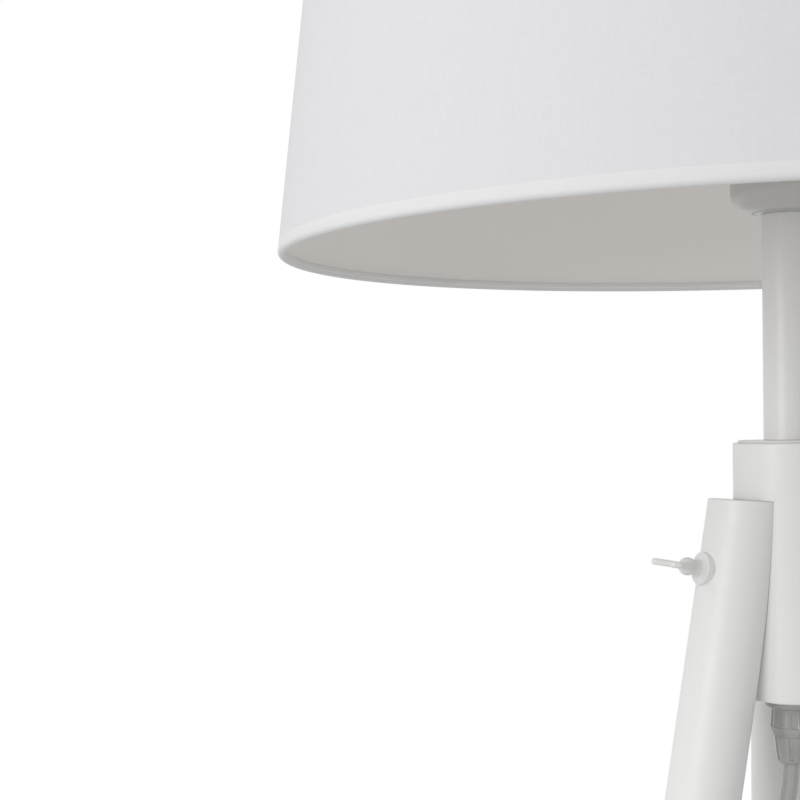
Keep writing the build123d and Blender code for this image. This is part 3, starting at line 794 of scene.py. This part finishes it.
def make_wing_screws():
    along = 54.0 * mm
    face = leg_radius + 0.3 * mm
    shank = 34.7 * mm
    shank_radius = 2.5 * mm
    flange_radius = 6.8 * mm
    flange_back = -1.6 * mm
    flange_top = 1.3 * mm
    neck = 3.0 * mm
    ball = 3.7 * mm
    ball_reach = 7.0 * mm
    ball_steps = 12
    turns = {"left": 0.0, "right": 24.0, "back": -35.0}
    line = rounded([
        (0, -shank, 0),
        (shank_radius, -shank, 0.4 * mm),
        (shank_radius, flange_back, 0),
        (flange_radius, flange_back, 0.3 * mm),
        (flange_radius, flange_top, 0.5 * mm),
        (neck, flange_top, 0.8 * mm),
        (neck, ball_reach - 0.8 * ball, 0),
    ])
    for angle in spaced(math.asin(neck / ball), math.pi, ball_steps):
        line.append(Vector((ball * math.sin(angle), ball_reach - ball * math.cos(angle))))
    line[-1].x = 0
    outwards = Matrix.Translation((face, 0, 0)) @ Matrix.Rotation(math.pi / 2, 4, "Y")
    for name, angle in leg_angles.items():
        node = "wing_screw_" + name
        screw = joined(lathe(line, segments=64), turned(wing_plate(), turns[name] + 90))
        screw.transform(leg_place(angle, along) @ outwards)
        show("painted_" + node, screw, "painted_metal", node, body=node + "_body")


make_legs()
make_hub()
make_stem()
make_wing_screws()


# Repeated and wound pieces

class Recipe(Nodes):
    """A Geometry Nodes tree with named inputs, and the plain meshes that it makes."""

    def __init__(self, name, **inputs):
        super().__init__(bpy.data.node_groups.new(name, "GeometryNodeTree"))
        sockets = self.tree.interface
        sockets.new_socket("Geometry", in_out="OUTPUT", socket_type="NodeSocketGeometry")
        self.names = {}
        for key, kind in inputs.items():
            socket = sockets.new_socket(key, in_out="INPUT", socket_type="NodeSocket" + kind)
            self.names[key] = socket.identifier
        self.start = self.tree.nodes.new("NodeGroupInput")
        self.result = self.tree.nodes.new("NodeGroupOutput")

    def given(self, key):
        return Value(self, self.start.outputs[key])

    def end(self, geometry):
        real = self.add("GeometryNodeRealizeInstances", {0: geometry})
        dressed = self.add("GeometryNodeSetMaterial", {0: real, "Material": self.given("Finish")})
        self.link(dressed, self.result, 0)

    def make(self, finish, **values):
        """The tree's mesh for these inputs, as a plain mesh."""
        carrier = placed("recipe_carrier", bpy.data.meshes.new("recipe_carrier"))
        modifier = carrier.modifiers.new("recipe", "NODES")
        modifier.node_group = self.tree
        modifier[self.names["Finish"]] = finishes[finish]
        for key, value in values.items():
            modifier[self.names[key]] = value
        return baked(carrier)


def ring_recipe():
    """Copies of a small piece set round the upright axis, each turned to face outwards."""
    recipe = Recipe("ring_of_copies", Piece="Object", Count="Int", Radius="Float", Finish="Material")
    given = recipe.given
    ring = recipe.add("GeometryNodeMeshCircle", {"Vertices": given("Count"), "Radius": given("Radius")})
    spot = recipe.add("GeometryNodeInputPosition")
    facing = recipe.add("FunctionNodeAlignRotationToVector", {"Vector": spot}, axis="X")
    piece = recipe.add("GeometryNodeObjectInfo", {"Object": given("Piece")}, output="Geometry")
    inputs = {"Points": ring, "Instance": piece, "Rotation": facing}
    recipe.end(recipe.add("GeometryNodeInstanceOnPoints", inputs))
    return recipe


def thread_recipe():
    """A rounded screw thread wound round the upright axis."""
    numbers = {"Radius": "Float", "Pitch": "Float", "Turns": "Float", "Depth": "Float"}
    recipe = Recipe("screw_thread", **numbers, Finish="Material")
    given = recipe.given
    inputs = {
        "Resolution": 48,
        "Rotations": given("Turns"),
        "Start Radius": given("Radius"),
        "End Radius": given("Radius"),
        "Height": given("Pitch") * given("Turns"),
    }
    helix = recipe.add("GeometryNodeCurveSpiral", inputs)
    section = recipe.add("GeometryNodeCurvePrimitiveCircle", {"Resolution": 8, "Radius": given("Depth")})
    inputs = {"Curve": helix, "Profile Curve": section, "Fill Caps": True}
    recipe.end(recipe.add("GeometryNodeCurveToMesh", inputs))
    return recipe


ring_of_copies = ring_recipe()
screw_thread = thread_recipe()


def threaded(mesh, low, finish, **values):
    """A mesh with a screw thread round it from a height upwards."""
    return joined(mesh, raised(screw_thread.make(finish, **values), low))


def copies_of(mesh, count, radius, finish):
    """A small mesh repeated round the axis, as one plain mesh."""
    pattern = placed("pattern", mesh)
    made = ring_of_copies.make(finish, Piece=pattern, Count=count, Radius=radius)
    bpy.data.objects.remove(pattern)
    return made


# Cord grip

def nearness(angle, count, first):
    """1 on each of a number of evenly spaced lines, one at first degrees, and 0 halfway between two."""
    return abs((math.degrees(angle) - first) / 360 * count % 1 - 0.5) * 2


def make_flange():
    """The rounded flange under the hub, whose low end the grip's collar starts from."""
    height = 4.7 * mm
    _, high, radius = span("flange_nut")
    low = high - height
    bore = nipple_hole
    outline = [(bore, low, 0), (radius, low, 2.6 * mm), (radius, high, 0.2 * mm), (bore, high, 0)]
    show("grip_flange", hollow(outline, steps=8), "grey_plastic", "flange_nut")
    return low


def make_collar(high):
    """The collar, which has flat-bottomed flutes between its ribs and a rounded foot."""
    low = span("cord_grip_collar")[0] + 1.2 * mm
    top_radius, low_radius, foot_radius = 7.9 * mm, 8.7 * mm, 7.2 * mm
    foot_height = 2.4 * mm
    flute_low, flute_high = low + 3.8 * mm, high - 1.2 * mm
    flute_depth = 0.4 * mm
    flute_edge, flute_ease = 0.78, 0.12
    fade = 0.35 * mm
    ribs = 14
    rib_segments = 20
    first_rib = 265.3

    def side(height):
        return low_radius + (top_radius - low_radius) * (height - low) / (high - low)

    def fluted(angle, radius, height):
        if not flute_low < height < flute_high:
            return radius
        past_edge = flute_edge - nearness(angle, ribs, first_rib)
        return radius - flute_depth * clamped(past_edge / flute_ease + 0.5)

    outline = [(nipple_hole, low, 0), (foot_radius, low, 0.5 * mm)]
    outline.append((side(low + foot_height), low + foot_height, 1.6 * mm))
    for height in (flute_low, flute_low + fade, flute_high - fade, flute_high):
        outline.append((side(height), height, 0))
    outline += [(top_radius, high, 0.2 * mm), (nipple_hole, high, 0)]
    body = hollow(outline, ribs * rib_segments, swell=fluted)
    show("grip_collar", body, "clear_plastic", "cord_grip_collar", sharp=28.0)
    return low


def make_nose(high):
    """The tapered nose, with shallow clamping slits down to its tip."""
    low = span("cord_grip_nose")[0] + 1.5 * mm
    bore = cord_radius + 0.05 * mm
    outside = 5 * mm
    slit_low = low + 1.8 * mm
    slit_depth = 0.6 * mm
    slit_edge, slit_ease = 0.72, 0.06
    slits = 6
    first_slit = 268.0

    def slit(angle, radius, height):
        if radius < outside or height < slit_low:
            return radius
        past_edge = nearness(angle, slits, first_slit) - slit_edge
        return radius - slit_depth * clamped(past_edge / slit_ease)

    outline = [
        (bore, low, 0),
        (4.9 * mm, low, 0.3 * mm),
        (6.0 * mm, low + 1.4 * mm, 0.5 * mm),
        (6.08 * mm, slit_low, 0),
        (6.11 * mm, slit_low + 0.3 * mm, 0),
        (7.2 * mm, high, 0),
        (bore, high, 0),
    ]
    body = hollow(outline, segments=288, swell=slit)
    show("grip_nose", body, "clear_plastic", "cord_grip_nose", sharp=28.0)


make_nose(make_collar(make_flange()))


# Lampholder and bulb

def make_cup():
    """The lampholder's cup, with a dished bottom and a large rounded corner."""
    low, high, radius = span("lampholder_cup")
    wall = 1.6 * mm
    corner = 8.5 * mm
    dish = 2.4 * mm
    edge = 0.3 * mm
    outline = [
        (nipple_hole, low, 0),
        (10.2 * mm, low, 0),
        (14.0 * mm, low + 0.25 * dish, 0),
        (radius, low + dish, corner),
        (radius, high, edge),
        (radius - wall, high, edge),
        (radius - wall, low + dish + wall, corner - wall),
        (nipple_hole, low + wall, 0),
    ]
    show("holder_cup", hollow(outline, segments=128, steps=10), "holder_plastic", "lampholder_cup")


def make_skirt():
    """The lampholder's threaded skirt above the step that carries the shade's gallery ring."""
    low, high, radius = span("lampholder_skirt")
    shoulder = max(span("shade_spider")[0], low + gallery_step)
    thread_radius = 19.2 * mm
    bore = 17.1 * mm
    edge = 0.3 * mm
    pitch = 2.5 * mm
    thread_depth = 0.5 * mm
    outline = [
        (bore, low, 0),
        (radius, low, edge),
        (radius, shoulder, edge),
        (thread_radius, shoulder, 0),
        (thread_radius, high, 0.6 * mm),
        (bore, high, 0.4 * mm),
    ]
    turns = (high - shoulder - 3 * pitch / 2) / pitch
    thread = {"Radius": thread_radius, "Pitch": pitch, "Turns": turns, "Depth": thread_depth}
    body = threaded(hollow(outline), shoulder + pitch / 2, "holder_plastic", **thread)
    show("holder_skirt", body, "holder_plastic", "lampholder_skirt")


def make_ring_nut():
    low, high, _ = span("shade_ring_nut")
    radius = 25.0 * mm
    bore = 20.05 * mm
    edge = 0.7 * mm
    bore_edge = 0.2 * mm
    notches = 12
    notch_depth = 1.5 * mm

    def notched(angle, out, height):
        if out < bore + mm:
            return out
        return out - notch_depth * (1 - abs(math.sin(notches * angle / 2))) ** 2

    mesh = hollow(washer(bore, radius, low, high, edge, bore_edge), segments=240, swell=notched)
    show("shade_clamp_ring", mesh, "holder_plastic", "shade_ring_nut", body="shade_ring")


def make_globe():
    low, high, _ = span("bulb_globe")
    head = 30.0 * mm
    middle = high - head
    throat = Vector((14.4 * mm, low + 16.0 * mm))
    fullness = 0.85
    swell_steps = 14
    head_steps = 20
    line = [Vector((0, low)), Vector((13.1 * mm, low)), Vector((13.4 * mm, low + 4 * mm)), throat]
    for share in spaced(0, 1, swell_steps)[1:-1]:
        out = throat.x + (head - throat.x) * eased(share) ** fullness
        line.append(Vector((out, throat.y + (middle - throat.y) * share)))
    for angle in spaced(0, math.pi / 2, head_steps):
        line.append(Vector((head * math.cos(angle), middle + head * math.sin(angle))))
    line[-1].x = 0
    show("opal_globe", lathe(line), "bulb_glass", "bulb_globe", body="bulb")


def make_bulb_cap():
    low, high, _ = span("bulb_cap")
    core = 12.5 * mm
    taper, taper_height = 2 * mm, 3 * mm
    thread_low = 4.2 * mm
    outline = [
        (0, low, 0),
        (core - taper, low, 0.5 * mm),
        (core, low + taper_height, 0.6 * mm),
        (core, high, 0),
        (0, high, 0),
    ]
    thread = {"Radius": core, "Pitch": 3.6 * mm, "Turns": 4.2, "Depth": 0.55 * mm}
    body = threaded(lathe(rounded(outline)), low + thread_low, "bulb_metal", **thread)
    show("bulb_screw_cap", body, "bulb_metal", "bulb_cap", body="bulb")


make_cup()
make_skirt()
make_ring_nut()
make_globe()
make_bulb_cap()


# Shade

def shade_out(height, inset):
    """The radius and height of a point of the shade's section above its lower edge."""
    return Vector((shade_radius - shade_taper * height - inset, shade_low + height))


def wall_recipe():
    """The shade's cloth: a grid wrapped into a cone, with very slight unevenness."""
    wave_scale = 2.3
    wave_height = 3.0
    recipe = Recipe(
        "cone_of_cloth", Low="Float", Taper="Float", Start="Float", Height="Float",
        Columns="Int", Rows="Int", Unevenness="Float", Finish="Material",
    )
    given = recipe.given
    inputs = {"Size X": 1.0, "Size Y": 1.0, "Vertices X": given("Columns"), "Vertices Y": given("Rows")}
    grid = recipe.add("GeometryNodeMeshGrid", inputs, output="Mesh")
    inputs = {"Geometry": grid, "Name": "UVMap", "Value": grid.out("UV Map")}
    mapped = recipe.add("GeometryNodeStoreNamedAttribute", inputs, data_type="FLOAT2", domain="CORNER")
    across = recipe.add("ShaderNodeSeparateXYZ", {0: recipe.add("GeometryNodeInputPosition")}, output="X")
    angle = (across + 0.5) * (2 * math.pi)
    up = (across.out("Y") + 0.5) * given("Height")
    reach = given("Low") - up * given("Taper")
    along_x = angle.math("COSINE")
    along_y = angle.math("SINE")
    probe = recipe.add("ShaderNodeCombineXYZ", {0: along_x, 1: along_y, 2: up * wave_height})
    wave = recipe.add("ShaderNodeTexNoise", {"Vector": probe, "Scale": wave_scale, "Detail": 1.0})
    out = reach + (wave - 0.5) * given("Unevenness")
    place = recipe.add("ShaderNodeCombineXYZ", {0: out * along_x, 1: out * along_y, 2: up + given("Start")})
    wrapped = recipe.add("GeometryNodeSetPosition", {"Geometry": mapped, "Position": place})
    recipe.end(recipe.add("GeometryNodeMergeByDistance", {"Geometry": wrapped, "Distance": same_place}))
    return recipe


def thickened(mesh, thickness):
    """A sheet given a thickness towards its inside."""
    made = placed("sheet", mesh)
    solid = made.modifiers.new("thickness", "SOLIDIFY")
    solid.thickness = thickness
    solid.offset = -1.0
    return baked(made)


def hem_point(flip, inset, height):
    """A point of a hem's section, at the lower edge for flip 1 and at the upper edge for -1."""
    return shade_out(height if flip > 0 else shade_height - height, inset)


def rolled_hem(flip):
    """The section of a hem: an outside band that thins out upwards and a roll round the wire."""
    top = 5.8 * mm
    roll = 2.0 * mm
    roll_turn = 1.06 * math.pi
    roll_steps = 14
    tail = (2.2 * mm, 3.2 * mm)
    band = [(0.6, 0), (0.35, 0.1), (0.2, 0), (0.08, -0.5), (0, -1.4), (0, -3.0)]
    centre = hem_point(flip, roll, roll)
    line = [hem_point(flip, inset * mm, top + lift * mm) for inset, lift in band]
    for angle in spaced(0, roll_turn, roll_steps):
        line.append(centre + Vector((roll * math.cos(angle), -flip * roll * math.sin(angle))))
    line.append(hem_point(flip, *tail))
    return line


def hem_strip(flip):
    """The section of the lining's strip that is turned down over the inside of a hem."""
    section = [(4.1, 1.5), (3.9, 2.4), (2.95, 3.4), (2.5, 3.7), (1.5, 3.6), (2.5, 2.8), (3.6, 1.8)]
    return [hem_point(flip, inset * mm, height * mm) for inset, height in section]


def flat_cut(radius, slant):
    """The width and length of the rectangle that a cone's flat cut, part of a ring, is cut from."""
    ring = radius * math.hypot(1, shade_taper) / shade_taper
    half = math.pi * radius / ring
    return 2 * ring * math.sin(half), ring - (ring - slant) * math.cos(half)


def make_shade():
    """The cloth, its lining and the two hems."""
    hem_step = 0.15 * mm
    cloth_start = 4.2 * mm
    cloth_height = shade_height - 2 * cloth_start
    cloth_thickness = 0.7 * mm
    lining_gap = 0.05 * mm
    lining_depth = 0.5 * mm
    hem_segments = 256
    start = shade_out(cloth_start, hem_step)
    values = {
        "Low": start.x, "Taper": shade_taper, "Start": start.y, "Height": cloth_height,
        "Columns": 361, "Rows": 41, "Unevenness": 0.3 * mm,
    }
    cloth = thickened(wall_recipe().make("shade_fabric", **values), cloth_thickness)
    wall = show("shade_cloth", cloth, "shade_fabric", "shade_fabric", sharp=60.0)

    film = hem_step + cloth_thickness
    cloth_end = shade_height - cloth_start
    near, far = film + lining_gap, film + lining_depth
    corners = [(cloth_start, near), (cloth_start, far), (cloth_end, far), (cloth_end, near)]
    lining = lathe([shade_out(*corner) for corner in corners], segments=192, closed=True)
    sheet = show("shade_lining_sheet", lining, "shade_lining", "shade_lining")

    cloth_size = (2 * math.pi * shade_radius, cloth_height)
    look = {"sharp": 50.0, "finish": "doubled_cloth"}
    for name, flip in (("lower_hem", 1), ("upper_hem", -1)):
        hem = lathe(rolled_hem(flip), hem_segments, True, map_size=cloth_size)
        show(name, hem, "shade_fabric", "shade_" + name, **look)
        strip = lathe(hem_strip(flip), hem_segments, True)
        show(name + "_strip", strip, "shade_lining", sharp=50.0)

    slant = math.hypot(1, shade_taper) * cloth_height
    middle_round = 2 * math.pi * (start.x - shade_taper * cloth_height / 2)
    lining_round = middle_round - 2 * math.pi * film
    flat_cut(start.x, slant)
    middle_round * slant
    flat_cut(start.x - film, slant)
    lining_round * slant


def bent_wire(line, radius):
    """A round wire along a line of (reach, height) points."""
    points = [(reach, 0, height) for reach, height in line]
    shape = editable(baked(placed("wire", round_curve("wire", "POLY", points, radius, 4))))
    bmesh.ops.remove_doubles(shape, verts=shape.verts, dist=same_place)
    return plain_mesh(shape)


def make_wire_frame():
    """The gallery ring on the lampholder, three bent spokes and the hoop in the upper hem, welded."""
    wire_radius = 1.55 * mm
    wire_sides = 20
    roll = 2.3 * mm
    hoop = shade_out(shade_height - roll, roll)
    section = []
    for angle in spaced(0, 2 * math.pi, wire_sides)[:-1]:
        section.append(hoop + wire_radius * Vector(on_circle(1, angle)))

    spoke_count = 3
    spoke_radius = 1.45 * mm
    weld = 25.5 * mm
    elbow = 41.0 * mm
    elbow_bend = 16 * mm
    below_hoop = 0.2 * mm
    low = span("lampholder_skirt")[0] + gallery_step
    end = (hoop.x - weld, hoop.y - below_hoop - low, 0)
    spoke = bent_wire(rounded([(0, 0, 0), (elbow - weld, 0, elbow_bend), end], steps=12), spoke_radius)
    spokes = turned(copies_of(raised(spoke, low), spoke_count, weld, "white_wire"), 90)

    bore, radius, thickness = 20.2 * mm, 27.0 * mm, 1.5 * mm
    edge = 0.3 * mm
    ring = hollow(washer(bore, radius, low, low + thickness, edge, edge), segments=128, steps=3)
    hoop_wire = lathe(section, segments=256, closed=True)
    show("wire_frame", joined(ring, hoop_wire, spokes), "white_wire", "shade_spider")


make_shade()
make_wire_frame()


# Foot switch and plug

for node, slot, bevel, body in (
    ("switch_base", "switch_plastic", 0.4 * mm, "stand"),
    ("switch_cover", "switch_plastic", 0.4 * mm, "stand"),
    ("plug_body", "switch_plastic", 0.2 * mm, "stand"),
    ("plug_boot", "switch_plastic", 0.4 * mm, "stand"),
    ("coil_tie", "coil_tie", 0.2 * mm, "stand"),
    ("plug_pins", "plug_pin", 0.2 * mm, "stand"),
    ("switch_button", "button_plastic", 0.4 * mm, "foot_button"),
):
    show(node + "_piece", softened(node, bevel), slot, node, body=body)

for part in frame["record"]["subparts"]:
    mesh = frame["nodes"][part["node"]].data
    mesh.materials.clear()
    mesh.materials.append(finishes[part["material_slot"]])


# Stage

white = (1, 1, 1, 1)


def make_floor():
    """A pale floor that fades into the white background at its far edge."""
    radius = 2.2
    fade_start, fade_end = 0.7, 0.95 * radius
    paint = Paint("pale_floor", Roughness=0.7, Base_Color=(0.7, 0.7, 0.7, 1))
    place = paint.add("ShaderNodeTexCoord", output="Object")
    away = paint.add("ShaderNodeVectorMath", {0: place}, output="Value", operation="LENGTH")
    inputs = {"Value": away, "From Min": fade_start, "From Max": fade_end}
    fade = paint.add("ShaderNodeMapRange", inputs, interpolation_type="SMOOTHSTEP")
    seen = paint.add("ShaderNodeLightPath", output="Is Camera Ray")
    glow = paint.add("ShaderNodeEmission", {"Color": white, "Strength": 1.0})
    plain = Value(paint, paint.shader.outputs[0])
    mixed = paint.add("ShaderNodeMixShader", {0: fade * seen, 1: plain, 2: glow})
    paint.link(mixed, paint.tree.nodes["Material Output"], "Surface")
    shape = bmesh.new()
    bmesh.ops.create_circle(shape, cap_ends=True, segments=128, radius=radius)
    mesh = plain_mesh(shape, False)
    mesh.materials.append(paint.material)
    placed("floor", mesh)


def make_world():
    """White where it is seen, also in and through a piece, and dimmer as a light."""
    light_level = 0.6
    scene.world = bpy.data.worlds.new("studio")
    scene.world.use_nodes = True
    sky = Nodes(scene.world.node_tree)
    seen = sky.add("ShaderNodeLightPath", output="Is Camera Ray")
    direct = seen.math("MAXIMUM", seen.out("Is Glossy Ray"))
    either = direct.math("MAXIMUM", seen.out("Is Transmission Ray"))
    level = sky.add("ShaderNodeMapRange", {"Value": either, "To Min": light_level, "To Max": 1.0})
    background = sky.tree.nodes["Background"]
    background.inputs["Color"].default_value = white
    sky.link(level, background, "Strength")


make_floor()
make_world()
add_softbox("front_softbox", (-1.45, -2.07, 1.5), (0, 0, 1.1), 1.1, 20.0)
add_softbox("left_softbox", (-2.0, -0.95, 3.1), (0, 0, 1.25), 1.2, 12.0)
scene.view_settings.view_transform = "Standard"
